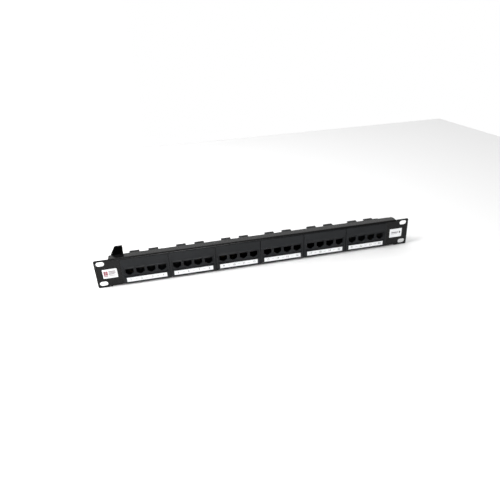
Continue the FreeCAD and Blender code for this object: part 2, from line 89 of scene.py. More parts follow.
def startMaterial(name, colour, roughness, metallic=0.0, specular=0.5):
    material = bpy.data.materials.new(name)
    material.use_nodes = True
    tree = material.node_tree
    shader = tree.nodes["Principled BSDF"]
    shader.inputs["Base Color"].default_value = (*colour, 1)
    shader.inputs["Roughness"].default_value = roughness
    shader.inputs["Metallic"].default_value = metallic
    shader.inputs["Specular IOR Level"].default_value = specular
    place = addNode(tree, "ShaderNodeTexCoord").outputs["Object"]
    return material, tree, shader, place


def mapRange(tree, value, low, high, fromLow=0.3, fromHigh=0.7):
    return addNode(tree, "ShaderNodeMapRange", {
        "Value": value, "From Min": fromLow, "From Max": fromHigh, "To Min": low, "To Max": high,
    }).outputs["Result"]


def noise(tree, place, scale, detail=3.0, rough=0.5, stretch=None):
    if stretch:
        place = addNode(tree, "ShaderNodeMapping", {"Vector": place, "Scale": stretch}).outputs["Vector"]
    return addNode(tree, "ShaderNodeTexNoise", {
        "Vector": place, "Scale": scale, "Detail": detail, "Roughness": rough,
    }).outputs["Fac"]


def blendColours(tree, share, first, second):
    mix = addNode(tree, "ShaderNodeMix", data_type="RGBA")
    tree.links.new(share, mix.inputs["Factor"])
    for socket, colour in ((mix.inputs[6], first), (mix.inputs[7], second)):
        if isinstance(colour, bpy.types.NodeSocket):
            tree.links.new(colour, socket)
        else:
            socket.default_value = (*colour, 1)
    return mix.outputs[2]


# what the plain finishes share
grain = {
    "driftDetail": 4.0, "grainDetail": 2.0, "grainRough": 0.6, "strength": 0.6,
    "smudgeScale": 3.7, "smudgeDetail": 5.0, "smudgeRough": 0.62, "cloud": 0.18, "speckSpan": (0.02, 0.16),
}


# one recipe for the plain finishes: cloudy colour and gloss, fine grain, and a few light specks
def grainedFinish(name, look, colourFrom=None):
    material, tree, shader, place = startMaterial(
        name, look["dark"], look["rough"], look.get("metallic", 0.0), look.get("specular", 0.5))
    drift = noise(tree, place, look["driftScale"], grain["driftDetail"])
    fine = noise(
        tree, place, look["grainScale"], grain["grainDetail"], grain["grainRough"], look.get("stretch"))
    smudge = noise(
        tree, place, look["driftScale"] * grain["smudgeScale"], grain["smudgeDetail"], grain["smudgeRough"])
    colour = blendColours(tree, mapRange(tree, drift, 0, 1), look["dark"], look["light"])
    if colourFrom:
        painted = addNode(tree, "ShaderNodeAttribute", attribute_name=colourFrom).outputs["Color"]
        colour = blendColours(tree, mapRange(tree, drift, 0.0, grain["cloud"]), painted, look["dark"])
    if look.get("specks"):
        speck = addNode(tree, "ShaderNodeTexVoronoi", {"Vector": place, "Scale": look["speckScale"]})
        dust = mapRange(tree, speck.outputs["Distance"], look["specks"], 0.0, *grain["speckSpan"])
        colour = blendColours(tree, dust, colour, look["speckColour"])
    tree.links.new(colour, shader.inputs["Base Color"])
    gloss = mapRange(tree, smudge, look["rough"] - look["roughDrift"], look["rough"] + look["roughDrift"])
    tree.links.new(gloss, shader.inputs["Roughness"])
    bump = addNode(tree, "ShaderNodeBump", {
        "Height": fine, "Distance": look["grainDepth"], "Strength": grain["strength"]})
    tree.links.new(bump.outputs["Normal"], shader.inputs["Normal"])
    if "coat" in look:
        shader.inputs["Coat Weight"].default_value = look["coat"]
        shader.inputs["Coat Roughness"].default_value = look["coatRough"]
    return material


powderCoat = {
    "dark": (0.0030, 0.0030, 0.0031), "light": (0.0052, 0.0052, 0.0055), "rough": 0.27, "roughDrift": 0.05,
    "specular": 0.20, "driftScale": 30.0, "grainScale": 1300.0, "grainDepth": 0.00003,
    "specks": 0.5, "speckScale": 420.0, "speckColour": (0.016, 0.016, 0.017),
}
bezelPlastic = {
    "dark": (0.0050, 0.0058, 0.0068), "light": (0.0085, 0.0096, 0.0112), "rough": 0.45, "roughDrift": 0.05,
    "specular": 0.20, "driftScale": 24.0, "grainScale": 3200.0, "grainDepth": 0.00002,
    "specks": 0.35, "speckScale": 900.0, "speckColour": (0.022, 0.024, 0.027),
}
housingPlastic = {
    "dark": (0.002, 0.0023, 0.0028), "light": (0.0035, 0.0040, 0.0048), "rough": 0.40, "roughDrift": 0.05,
    "specular": 0.14, "driftScale": 60.0, "grainScale": 2600.0, "grainDepth": 0.00001,
}
blockPlastic = {
    "dark": (0.006, 0.006, 0.0064), "light": (0.010, 0.010, 0.0105), "rough": 0.42, "roughDrift": 0.06,
    "specular": 0.06, "driftScale": 70.0, "grainScale": 2600.0, "grainDepth": 0.00001,
    "specks": 0.3, "speckScale": 800.0, "speckColour": (0.03, 0.03, 0.031),
}
armPlastic = {
    "dark": (0.0014, 0.0014, 0.0015), "light": (0.0028, 0.0028, 0.0030), "rough": 0.38, "roughDrift": 0.05,
    "specular": 0.045, "driftScale": 60.0, "grainScale": 2400.0, "grainDepth": 0.00001,
}
paper = {
    "dark": (0.72, 0.73, 0.74), "light": (0.78, 0.79, 0.80), "rough": 0.5, "roughDrift": 0.05,
    "driftScale": 120.0, "grainScale": 5200.0, "grainDepth": 0.000004, "coat": 0.25, "coatRough": 0.12,
}
board = {
    "dark": (0.004, 0.024, 0.013), "light": (0.006, 0.032, 0.018), "rough": 0.34, "roughDrift": 0.06,
    "specular": 0.45, "driftScale": 90.0, "grainScale": 1400.0, "grainDepth": 0.00001,
    "stretch": (1.0, 1.0, 0.25),
}
track = {
    "dark": (0.010, 0.050, 0.026), "light": (0.014, 0.064, 0.034), "rough": 0.30, "roughDrift": 0.05,
    "specular": 0.5, "driftScale": 150.0, "grainScale": 1800.0, "grainDepth": 0.00001,
}
gold = {
    "dark": (0.80, 0.55, 0.20), "light": (0.92, 0.68, 0.30), "rough": 0.24, "roughDrift": 0.06,
    "metallic": 1.0, "driftScale": 300.0, "grainScale": 2600.0, "grainDepth": 0.000004,
}
tin = {
    "dark": (0.62, 0.62, 0.60), "light": (0.78, 0.78, 0.76), "rough": 0.30, "roughDrift": 0.08,
    "metallic": 1.0, "driftScale": 260.0, "grainScale": 2600.0, "grainDepth": 0.000006,
}
zinc = {
    "dark": (0.50, 0.50, 0.52), "light": (0.68, 0.68, 0.70), "rough": 0.28, "roughDrift": 0.08,
    "metallic": 1.0, "driftScale": 220.0, "grainScale": 1800.0, "grainDepth": 0.000006,
}
numberInk = {
    "dark": (0.05, 0.05, 0.055), "light": (0.09, 0.09, 0.095), "rough": 0.55, "roughDrift": 0.08,
    "driftScale": 700.0, "grainScale": 4000.0, "grainDepth": 0.000003,
}
boardInk = {
    "dark": (0.55, 0.56, 0.54), "light": (0.72, 0.73, 0.70), "rough": 0.6, "roughDrift": 0.08,
    "driftScale": 600.0, "grainScale": 4000.0, "grainDepth": 0.000003,
}
tagInk = {
    "dark": (0.30, 0.28, 0.28), "light": (0.42, 0.40, 0.40), "rough": 0.55, "roughDrift": 0.08,
    "driftScale": 500.0, "grainScale": 4000.0, "grainDepth": 0.000003,
}
wireCode = {
    "dark": (0.30, 0.30, 0.30), "light": (0.5, 0.5, 0.5), "rough": 0.5, "roughDrift": 0.06,
    "driftScale": 500.0, "grainScale": 3000.0, "grainDepth": 0.000004,
}
ceramic = {
    "dark": (0.10, 0.07, 0.045), "light": (0.15, 0.105, 0.07), "rough": 0.45, "roughDrift": 0.08,
    "driftScale": 900.0, "grainScale": 4000.0, "grainDepth": 0.000004,
}
finishes = {
    "black_steel": grainedFinish("powderCoat", powderCoat),
    "black_bezel": grainedFinish("bezelPlastic", bezelPlastic),
    "black_housing": grainedFinish("housingPlastic", housingPlastic),
    "punch_block": grainedFinish("blockPlastic", blockPlastic),
    "black_arm": grainedFinish("armPlastic", armPlastic),
    "white_paper": grainedFinish("labelPaper", paper),
    "circuit_board": grainedFinish("solderMask", board),
    "gold_wire": grainedFinish("goldPlate", gold),
    "tinned_blade": grainedFinish("tinPlate", tin),
    "plated_screw": grainedFinish("zincPlate", zinc),
}
trackFinish = grainedFinish("maskedTrack", track)
numberFinish = grainedFinish("numberInk", numberInk)
boardInkFinish = grainedFinish("boardInk", boardInk)
tagInkFinish = grainedFinish("tagInk", tagInk, "inkColour")
wireCodeFinish = grainedFinish("wireCode", wireCode, "inkColour")
ceramicFinish = grainedFinish("chipCeramic", ceramic)
slotOf = {entry["node"]: entry["material_slot"] for entry in frame["record"]["subparts"]}
for name, thing in nodes.items():
    thing.data.materials.clear()
    thing.data.materials.append(finishes[slotOf[name]])
print("finishes set")


# pieces: shared mesh work

def newObject(name, mesh):
    made = bpy.data.objects.new(name, mesh)
    scene.collection.objects.link(made)
    return made


def bake(thing):
    graph = bpy.context.evaluated_depsgraph_get()
    mesh = bpy.data.meshes.new_from_object(thing.evaluated_get(graph))
    mesh.name = thing.name
    thing.modifiers.clear()
    thing.data = mesh
    return thing


def settle(thing, bodyName, stands=()):
    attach(thing, bodyName)
    if stands:
        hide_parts(*stands)
    return thing


# rounds the outer hard edges a little, so that they catch light; inner corners stay sharp
def softenEdges(name, shape, edges, finish):
    hard = math.radians(edges["angle"])
    rounding = shape.edges.layers.float.new("bevel_weight_edge")
    for edge in shape.edges:
        edge[rounding] = float(edge.calc_face_angle_signed(0) > hard)
    mesh = bpy.data.meshes.new(name)
    shape.to_mesh(mesh)
    shape.free()
    mesh.materials.append(finish)
    mesh.shade_smooth()
    mesh.set_sharp_from_angle(angle=hard)
    thing = newObject(name, mesh)
    bevel = thing.modifiers.new("softEdges", "BEVEL")
    bevel.limit_method = "WEIGHT"
    bevel.width = edges["width"]
    bevel.segments = edges["steps"]
    bevel.use_clamp_overlap = False
    bevel.harden_normals = True
    return bake(thing)


# a merged copy of CAD nodes with clean flat faces and soft edges
def softCopy(name, sources, edges):
    shape = bmesh.new()
    for source in sources:
        shape.from_mesh(nodes[source].data)
    bmesh.ops.remove_doubles(shape, verts=shape.verts, dist=mergeGap)
    bmesh.ops.dissolve_limit(
        shape, angle_limit=math.radians(flatAngle), verts=shape.verts, edges=shape.edges)
    return softenEdges(name, shape, edges, finishes[slotOf[sources[0]]])


def shiftedCopy(thing, name, shift):
    mesh = thing.data.copy()
    mesh.transform(Matrix.Translation(shift))
    mesh.name = name
    return newObject(name, mesh)


# the same piece in all modules: worked out once, then copied along
def perModule(name, sources, edges):
    first = softCopy(f"{name}_1", [f"{source}_1" for source in sources], edges)
    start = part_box(f"{sources[0]}_1")[0]
    made = [first]
    for module in modules[1:]:
        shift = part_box(f"{sources[0]}_{module}")[0] - start
        made.append(shiftedCopy(first, f"{name}_{module}", shift))
    for module, thing in zip(modules, made):
        settle(thing, "panel", [f"{source}_{module}" for source in sources])
    print(name, "made:", moduleCount, "x", len(first.data.polygons), "faces")
    return made


# corner boxes of the separate solids in a CAD node
def solidsOf(name):
    shape = bmesh.new()
    shape.from_mesh(nodes[name].data)
    bmesh.ops.remove_doubles(shape, verts=shape.verts, dist=mergeGap)
    seen = set()
    boxes = []
    for vert in shape.verts:
        if vert in seen:
            continue
        seen.add(vert)
        waiting = [vert]
        found = []
        while waiting:
            current = waiting.pop()
            found.append(current.co.copy())
            for edge in current.link_edges:
                other = edge.other_vert(current)
                if other not in seen:
                    seen.add(other)
                    waiting.append(other)
        low = Vector([min(spot[axis] for spot in found) for axis in range(3)])
        high = Vector([max(spot[axis] for spot in found) for axis in range(3)])
        boxes.append((low, high))
    shape.free()
    return sorted(boxes, key=lambda pair: (round(pair[0].x, 5), round(pair[0].z, 5)))


# steel, bezels, housings, punch blocks

panelEdges = {"width": 0.22 * mm, "steps": 2, "angle": 32}
bezelEdges = {"width": 0.16 * mm, "steps": 2, "angle": 32}
housingEdges = {"width": 0.15 * mm, "steps": 1, "angle": 32}
blockEdges = {"width": 0.12 * mm, "steps": 1, "angle": 32}
settle(softCopy("steelPanel", ["front_panel"], panelEdges), "panel", ["front_panel"])
perModule("bezelShell", ["bezel"], bezelEdges)
perModule("socketHousing", ["socket_housings"], housingEdges)
perModule("punchBlock", ["lower_punch_blocks", "upper_punch_blocks"], blockEdges)

# arms, brackets and pins

armEdges = {"width": 0.25 * mm, "steps": 2, "angle": 32}
bracketEdges = {"width": 0.15 * mm, "steps": 2, "angle": 32}
pinEdges = {"width": 0.20 * mm, "steps": 2, "angle": 40}
for side in ("left", "right"):
    for name, source, edges, bodyName in (
        ("cableArm", "cable_arm", armEdges, f"arm_{side}"),
        ("armBracket", "arm_bracket", bracketEdges, "panel"),
        ("pivotPin", "pivot_pin", pinEdges, "panel"),
    ):
        node = f"{source}_{side}"
        settle(softCopy(f"{name}{side.title()}", [node], edges), bodyName, [node])
print("arms made")


# write-on strips and tags: thin sheets with rounded corners

def roundedSheet(name, source, look):
    low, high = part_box(source)
    outline = []
    for cornerX, cornerZ, turn in (
        (high.x, high.z, 0), (low.x, high.z, 90), (low.x, low.z, 180), (high.x, low.z, 270),
    ):
        inX = cornerX - math.copysign(look["corner"], cornerX - (low.x + high.x) / 2)
        inZ = cornerZ - math.copysign(look["corner"], cornerZ - (low.z + high.z) / 2)
        for step in range(look["steps"] + 1):
            angle = math.radians(turn + 90 * step / look["steps"])
            outline.append((inX + look["corner"] * math.cos(angle), inZ + look["corner"] * math.sin(angle)))
    shape = bmesh.new()
    rings = [[shape.verts.new((x, y, z)) for x, z in outline] for y in (low.y, high.y)]
    shape.faces.new(reversed(rings[1]))
    shape.faces.new(rings[0])
    count = len(outline)
    for index in range(count):
        following = (index + 1) % count
        shape.faces.new((rings[0][index], rings[1][index], rings[1][following], rings[0][following]))
    bmesh.ops.recalc_face_normals(shape, faces=shape.faces)
    return softenEdges(name, shape, look, finishes["white_paper"])


labelLook = {"corner": 0.5 * mm, "steps": 4, "width": 0.05 * mm, "angle": 32}
tagLook = {"corner": 0.9 * mm, "steps": 5, "width": 0.03 * mm, "angle": 32}
for module in modules:
    source = f"label_strip_{module}"
    settle(roundedSheet(f"numberStrip_{module}", source, labelLook), "panel", [source])
for side in ("left", "right"):
    source = f"tag_{side}"
    settle(roundedSheet(f"earTag{side.title()}", source, tagLook), "panel", [source])
print("strips and tags made")


# geometry node trees

def startTree(name, sizes):
    tree = bpy.data.node_groups.new(name, "GeometryNodeTree")
    face = tree.interface
    face.new_socket("Geometry", in_out="INPUT", socket_type="NodeSocketGeometry")
    for label, value in sizes.items():
        kind = "NodeSocketInt" if isinstance(value, int) else "NodeSocketFloat"
        face.new_socket(label, in_out="INPUT", socket_type=kind).default_value = value
    face.new_socket("Finish", in_out="INPUT", socket_type="NodeSocketMaterial")
    face.new_socket("Geometry", in_out="OUTPUT", socket_type="NodeSocketGeometry")
    return tree, tree.nodes.new("NodeGroupInput").outputs


def endTree(tree, given, shape):
    real = addNode(tree, "GeometryNodeRealizeInstances", {"Geometry": shape}).outputs["Geometry"]
    painted = addNode(tree, "GeometryNodeSetMaterial", {"Geometry": real, "Material": given["Finish"]})
    ending = tree.nodes.new("NodeGroupOutput")
    tree.links.new(painted.outputs["Geometry"], ending.inputs["Geometry"])
    return tree


def vector(tree, x=0.0, y=0.0, z=0.0):
    return addNode(tree, "ShaderNodeCombineXYZ", {"X": x, "Y": y, "Z": z}).outputs[0]


def joined(tree, *parts):
    join = tree.nodes.new("GeometryNodeJoinGeometry")
    for part in reversed(parts):
        tree.links.new(part, join.inputs["Geometry"])
    return join.outputs["Geometry"]


def moved(tree, shape, shift, turn=(0, 0, 0)):
    return addNode(tree, "GeometryNodeTransform", {
        "Geometry": shape, "Translation": shift, "Rotation": turn}).outputs["Geometry"]


# one number by chance for each instance; 2, 3 and 1 are the node's plain number sockets
def chance(tree, low, high, seed):
    draw = addNode(tree, "FunctionNodeRandomValue", {2: low, 3: high, "Seed": seed}, data_type="FLOAT")
    return draw.outputs[1]


# grows a tree on points or paths and keeps the result as a plain mesh
def grow(name, tree, sizes, finish, points, edges=(), colours=None, spans=None, smooth=40):
    mesh = bpy.data.meshes.new(name)
    mesh.from_pydata(points, edges, [])
    if colours:
        paint = mesh.attributes.new("inkColour", "FLOAT_COLOR", "POINT")
        for index, colour in enumerate(colours):
            paint.data[index].color = (*colour, 1)
    if spans:
        size = mesh.attributes.new("span", "FLOAT_VECTOR", "POINT")
        for index, span in enumerate(spans):
            size.data[index].vector = span
    holder = newObject(name, mesh)
    modifier = holder.modifiers.new(name, "NODES")
    modifier.node_group = tree
    for item in tree.interface.items_tree:
        if item.in_out == "INPUT" and item.name in sizes:
            modifier[item.identifier] = sizes[item.name]
        if item.in_out == "INPUT" and item.name == "Finish":
            modifier[item.identifier] = finish
    bake(holder)
    holder.data.shade_smooth()
    holder.data.set_sharp_from_angle(angle=math.radians(smooth))
    print(name, "grown:", len(holder.data.polygons), "faces")
    return holder


# bent wire along a path: rounded corners, round section
wireSizes = {"Radius": 0.21 * mm, "Bend": 0.55 * mm, "Sides": 7, "Bend Steps": 4}
wireFoot = 2.0 * mm  # how far before its rear end a spring wire comes down


def wireTree():
    tree, given = startTree("bentWire", wireSizes)
    path = addNode(tree, "GeometryNodeMeshToCurve", {"Mesh": given["Geometry"]}).outputs["Curve"]
    bent = addNode(tree, "GeometryNodeFilletCurve", {
        "Curve": path, "Radius": given["Bend"], "Count": given["Bend Steps"], "Limit Radius": True,
    }, mode="POLY").outputs["Curve"]
    ring = addNode(tree, "GeometryNodeCurvePrimitiveCircle", {
        "Resolution": given["Sides"], "Radius": given["Radius"]}).outputs["Curve"]
    solid = addNode(tree, "GeometryNodeCurveToMesh", {
        "Curve": bent, "Profile Curve": ring, "Fill Caps": True}).outputs["Mesh"]
    return endTree(tree, given, solid)


# spring wires: along the roof of each socket, round the front and down to the back
wirePoints = []
wireEdges = []
wireRadius = wireSizes["Radius"]
for module in modules:
    for low, high in solidsOf(f"spring_wires_{module}"):
        x = (low.x + high.x) / 2
        start = len(wirePoints)
        wirePoints += [
            (x, high.y - wireRadius, high.z - wireRadius), (x, low.y + wireRadius, high.z - wireRadius),
            (x, high.y - wireFoot, low.z + wireRadius),
        ]
        wireEdges += [(start, start + 1), (start + 1, start + 2)]
springWires = grow(
    "springWireSet", wireTree(), wireSizes, finishes["gold_wire"], wirePoints, wireEdges, smooth=60)
settle(springWires, "panel", [f"spring_wires_{module}" for module in modules])


# pan-head screws with a cross recess, on the rear of the boards
screwSizes = {
    "Head": 1.85 * mm, "Crown": 1.28 * mm, "Shank": 1.1 * mm, "Length": 6.2 * mm,
    "Recess": 1.1 * mm, "Recess Width": 0.5 * mm, "Recess Depth": 0.75 * mm, "Sides": 24, "Seed": 5,
}
crownSteps = ((0.45, 0.97), (0.30, 0.88), (0.18, 0.66))  # share of the crown's height, narrowing


def screwTree():
    tree, given = startTree("crossScrew", screwSizes)
    disc = addNode(tree, "GeometryNodeMeshCircle", {
        "Vertices": given["Sides"], "Radius": given["Head"]}, fill_type="NGON").outputs["Mesh"]
    shape = disc
    for rise, shrink in crownSteps:
        lift = calculate(tree, "MULTIPLY", given["Crown"], rise)
        extrude = addNode(tree, "GeometryNodeExtrudeMesh", {"Mesh": shape, "Offset Scale": lift})
        if shape is not disc:
            tree.links.new(top, extrude.inputs["Selection"])
        top = extrude.outputs["Top"]
        shape = addNode(tree, "GeometryNodeScaleElements", {
            "Geometry": extrude.outputs["Mesh"], "Selection": top, "Scale": shrink}).outputs["Geometry"]
    under = addNode(tree, "GeometryNodeFlipFaces", {"Mesh": disc}).outputs["Mesh"]
    crown = addNode(tree, "GeometryNodeMergeByDistance", {
        "Geometry": joined(tree, shape, under), "Distance": 0.001 * mm}).outputs["Geometry"]
    head = addNode(tree, "GeometryNodeMeshBoolean", {"Mesh 1": crown}, operation="DIFFERENCE", solver="EXACT")
    across = calculate(tree, "MULTIPLY", given["Recess"], 2.0)
    deep = calculate(tree, "MULTIPLY", given["Recess Depth"], 2.0)
    for turn in (0.0, math.pi / 2):
        slot = addNode(tree, "GeometryNodeMeshCube", {
            "Size": vector(tree, across, given["Recess Width"], deep)}).outputs["Mesh"]
        cut = moved(tree, slot, vector(tree, 0.0, 0.0, given["Crown"]), (0, 0, turn))
        tree.links.new(cut, head.inputs["Mesh 2"])
    shank = addNode(tree, "GeometryNodeMeshCylinder", {
        "Vertices": 12, "Radius": given["Shank"], "Depth": given["Length"]}).outputs["Mesh"]
    sunk = calculate(tree, "MULTIPLY", given["Length"], -0.5)
    screw = joined(tree, head.outputs["Mesh"], moved(tree, shank, vector(tree, 0.0, 0.0, sunk)))
    faced = moved(tree, screw, (0, 0, 0), (-math.pi / 2, 0, 0))
    spin = chance(tree, 0.0, math.pi, given["Seed"])
    placed = addNode(tree, "GeometryNodeInstanceOnPoints", {
        "Points": given["Geometry"], "Instance": faced, "Rotation": vector(tree, 0.0, spin, 0.0)})
    return endTree(tree, given, placed.outputs["Instances"])


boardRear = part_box("circuit_board_1")[1].y
screwSpots = [
    ((low.x + high.x) / 2, boardRear, (low.z + high.z) / 2) for low, high in solidsOf("board_screws")
]
screws = grow("boardScrewSet", screwTree(), screwSizes, finishes["plated_screw"], screwSpots, smooth=35)
settle(screws, "panel", ["board_screws"])


# solder joints: a small fillet of solder round each cut pin
solderSizes = {
    "Pad": 0.62 * mm, "Waist": 0.30 * mm, "Height": 0.62 * mm, "Pin": 0.22 * mm, "Pin Height": 1.15 * mm,
    "Sides": 10, "Least": 0.85, "Most": 1.12, "Seed": 11,
}


def solderTree():
    tree, given = startTree("solderJoint", solderSizes)
    cone = addNode(tree, "GeometryNodeMeshCone", {
        "Vertices": given["Sides"], "Radius Bottom": given["Pad"], "Radius Top": given["Waist"],
        "Depth": given["Height"]}).outputs["Mesh"]
    pin = addNode(tree, "GeometryNodeMeshCylinder", {
        "Vertices": given["Sides"], "Radius": given["Pin"], "Depth": given["Pin Height"]}).outputs["Mesh"]
    half = calculate(tree, "MULTIPLY", given["Pin Height"], 0.5)
    upright = joined(tree, cone, moved(tree, pin, vector(tree, 0.0, 0.0, half)))
    faced = moved(tree, upright, (0, 0, 0), (-math.pi / 2, 0, 0))
    size = chance(tree, given["Least"], given["Most"], given["Seed"])
    placed = addNode(tree, "GeometryNodeInstanceOnPoints", {
        "Points": given["Geometry"], "Instance": faced, "Scale": size})
    return endTree(tree, given, placed.outputs["Instances"])


# each socket has eight pins in two staggered rows; a track runs from each pin to its punch block
jackPins = {"count": 8, "pitch": 1.02 * mm, "upperRow": 1.25 * mm, "lowerRow": -1.25 * mm}
trackLook = {"lead": 0.9 * mm, "fan": 0.62, "straight": 5.4 * mm, "end": 7.0 * mm, "flatness": 0.12}
trackSizes = {"Radius": 0.16 * mm, "Bend": 0.6 * mm, "Sides": 6, "Bend Steps": 2}
blockSpots = {
    module: [
        ((low + high) / 2, high.y)
        for level in ("lower", "upper") for low, high in solidsOf(f"{level}_punch_blocks_{module}")
    ]
    for module in modules
}
jointSpots = []
trackPoints = []
trackEdges = []
for module in modules:
    blockColumns = sorted({round(centre.x, 5) for centre, rear in blockSpots[module]})
    for index, (low, high) in enumerate(solidsOf(f"socket_housings_{module}")):
        middle = (low.x + high.x) / 2
        upward = 1 if index in (0, 3) else -1  # outer sockets to the upper blocks, inner ones to the lower
        column = blockColumns[index // 2]
        for pin in range(jackPins["count"]):
            x = middle + (pin - (jackPins["count"] - 1) / 2) * jackPins["pitch"]
            z = jackPins["lowerRow"] if pin % 2 else jackPins["upperRow"]
            goal = column + (x - middle) * trackLook["fan"]
            start = len(trackPoints)
            jointSpots.append((x, boardRear, z))
            trackPoints += [
                (x, boardRear, z), (x, boardRear, upward * (jackPins["upperRow"] + trackLook["lead"])),
                (goal, boardRear, upward * trackLook["straight"]),
                (goal, boardRear, upward * trackLook["end"]),
            ]
            trackEdges += [(start + step, start + step + 1) for step in range(3)]
joints = grow("solderJoints", solderTree(), solderSizes, finishes["tinned_blade"], jointSpots, smooth=50)
settle(joints, "panel")
tracks = grow("boardTracks", wireTree(), trackSizes, trackFinish, trackPoints, trackEdges, smooth=60)
flatten = Matrix.Scale(trackLook["flatness"], 4, (0, 1, 0))
tracks.data.transform(
    Matrix.Translation((0, boardRear, 0)) @ flatten @ Matrix.Translation((0, -boardRear, 0)))
settle(tracks, "panel")


# small flat blocks at points, each with its own span: marks, dashes, chips
blockSizes = {"Lift": 0.0}


def blockTree():
    tree, given = startTree("smallBlocks", blockSizes)
    cube = addNode(tree, "GeometryNodeMeshCube", {"Size": (1, 1, 1)}).outputs["Mesh"]
    span = addNode(tree, "GeometryNodeInputNamedAttribute", {
        "Name": "span"}, data_type="FLOAT_VECTOR").outputs["Attribute"]
    placed = addNode(tree, "GeometryNodeInstanceOnPoints", {
        "Points": given["Geometry"], "Instance": cube, "Scale": span}).outputs["Instances"]
    raised = addNode(tree, "GeometryNodeTranslateInstances", {
        "Instances": placed, "Translation": vector(tree, 0.0, given["Lift"], 0.0)}).outputs["Instances"]
    return endTree(tree, given, raised)


smallBlocks = blockTree()

# colour code beside each wire slot, in the order of the pairs
codeLook = {
    "across": 0.85 * mm, "tall": 1.7 * mm, "thick": 0.06 * mm, "offset": 0.56 * mm, "pitch": 2.75 * mm,
    "paleFrom": 0.55, "paleShare": 0.3,
}
pairColours = ((0.02, 0.10, 0.55), (0.75, 0.22, 0.02), (0.03, 0.30, 0.06), (0.16, 0.07, 0.03))
codePoints = []
codeColours = []
for module in modules:
    spots = blockSpots[module]
    for low, high in solidsOf(f"contact_blades_{module}"):
        middle = (low + high) / 2
        centre, rear = min(spots, key=lambda spot: math.hypot(spot[0].x - middle.x, spot[0].z - middle.z))
        side = math.copysign(1, middle.x - centre.x)
        step = round((middle.z - centre.z) / codeLook["pitch"] + (len(pairColours) - 1) / 2)
        codePoints.append((centre.x + side * codeLook["offset"], rear, middle.z))
        plain = pairColours[step % len(pairColours)]
        pale = tuple(codeLook["paleFrom"] + codeLook["paleShare"] * part for part in plain)
        codeColours.append(plain if side > 0 else pale)
codeSpan = (codeLook["across"], codeLook["thick"], codeLook["tall"])
code = grow(
    "wireCodeMarks", smallBlocks, {}, wireCodeFinish, codePoints,
    colours=codeColours, spans=[codeSpan] * len(codePoints))
settle(code, "panel")

# chip parts on each board: ceramic bodies with tinned ends
chipLook = {
    "long": 2.0 * mm, "tall": 1.25 * mm, "thick": 0.9 * mm, "cap": 0.42 * mm, "inset": 0.06 * mm,
    "columns": (-1.6 * mm, 1.6 * mm), "rows": (-2.6 * mm, 0.0, 2.6 * mm),
}
chipPoints = []
capPoints = []
for module in modules:
    low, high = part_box(f"circuit_board_{module}")
    for column in chipLook["columns"]:
        for row in chipLook["rows"]:
            x = (low.x + high.x) / 2 + column
            y = boardRear + chipLook["thick"] / 2
            reach = (chipLook["long"] - chipLook["cap"]) / 2
            chipPoints.append((x, y, row))
            capPoints += [(x - reach, y, row), (x + reach, y, row)]
capSpan = (chipLook["cap"], chipLook["thick"], chipLook["tall"])
chipSpan = (chipLook["long"] - capSpan[0], capSpan[1] - chipLook["inset"], capSpan[2] - chipLook["inset"])
chips = grow("chipParts", smallBlocks, {}, ceramicFinish, chipPoints, spans=[chipSpan] * len(chipPoints))
caps = grow(
    "chipEnds", smallBlocks, {}, finishes["tinned_blade"], capPoints, spans=[capSpan] * len(capPoints))
settle(chips, "panel")
settle(caps, "panel")


# numbers: one after another on the given points
numberSizes = {"First": 1, "Count": 24, "Height": 4.4 * mm, "Thickness": 0.03 * mm, "Turn": 0.0}


def numberTree():
    tree, given = startTree("runningNumbers", numberSizes)
    loopIn = tree.nodes.new("GeometryNodeRepeatInput")
    loopOut = tree.nodes.new("GeometryNodeRepeatOutput")
    loopIn.pair_with_output(loopOut)
    tree.links.new(given["Count"], loopIn.inputs["Iterations"])
    step = loopIn.outputs["Iteration"]
    number = calculate(tree, "ADD", step, given["First"])
    text = addNode(tree, "FunctionNodeValueToString", {"Value": number}).outputs["String"]
    letters = addNode(tree, "GeometryNodeStringToCurves", {"String": text, "Size": given["Height"]},
                      align_x="CENTER", align_y="MIDDLE").outputs["Curve Instances"]
    outline = addNode(tree, "GeometryNodeRealizeInstances", {"Geometry": letters}).outputs["Geometry"]
    flat = addNode(tree, "GeometryNodeFillCurve", {"Curve": outline}, mode="TRIANGLES").outputs["Mesh"]
    raised = addNode(tree, "GeometryNodeExtrudeMesh", {
        "Mesh": flat, "Offset Scale": given["Thickness"], "Individual": False}).outputs["Mesh"]
    under = addNode(tree, "GeometryNodeFlipFaces", {"Mesh": flat}).outputs["Mesh"]
    closed = addNode(tree, "GeometryNodeMergeByDistance", {
        "Geometry": joined(tree, raised, under), "Distance": 0.001 * mm}).outputs["Geometry"]
    spot = addNode(tree, "GeometryNodeSampleIndex", {
        "Geometry": given["Geometry"], "Index": step}, data_type="FLOAT_VECTOR", domain="POINT")
    place = tree.nodes.new("GeometryNodeInputPosition").outputs["Position"]
    tree.links.new(place, spot.inputs["Value"])
    upright = moved(tree, closed, (0, 0, 0), (math.pi / 2, 0, 0))
    placed = moved(tree, upright, spot.outputs["Value"], vector(tree, 0.0, 0.0, given["Turn"]))
    tree.links.new(joined(tree, loopIn.outputs["Geometry"], placed), loopOut.inputs["Geometry"])
    return endTree(tree, given, loopOut.outputs["Geometry"])


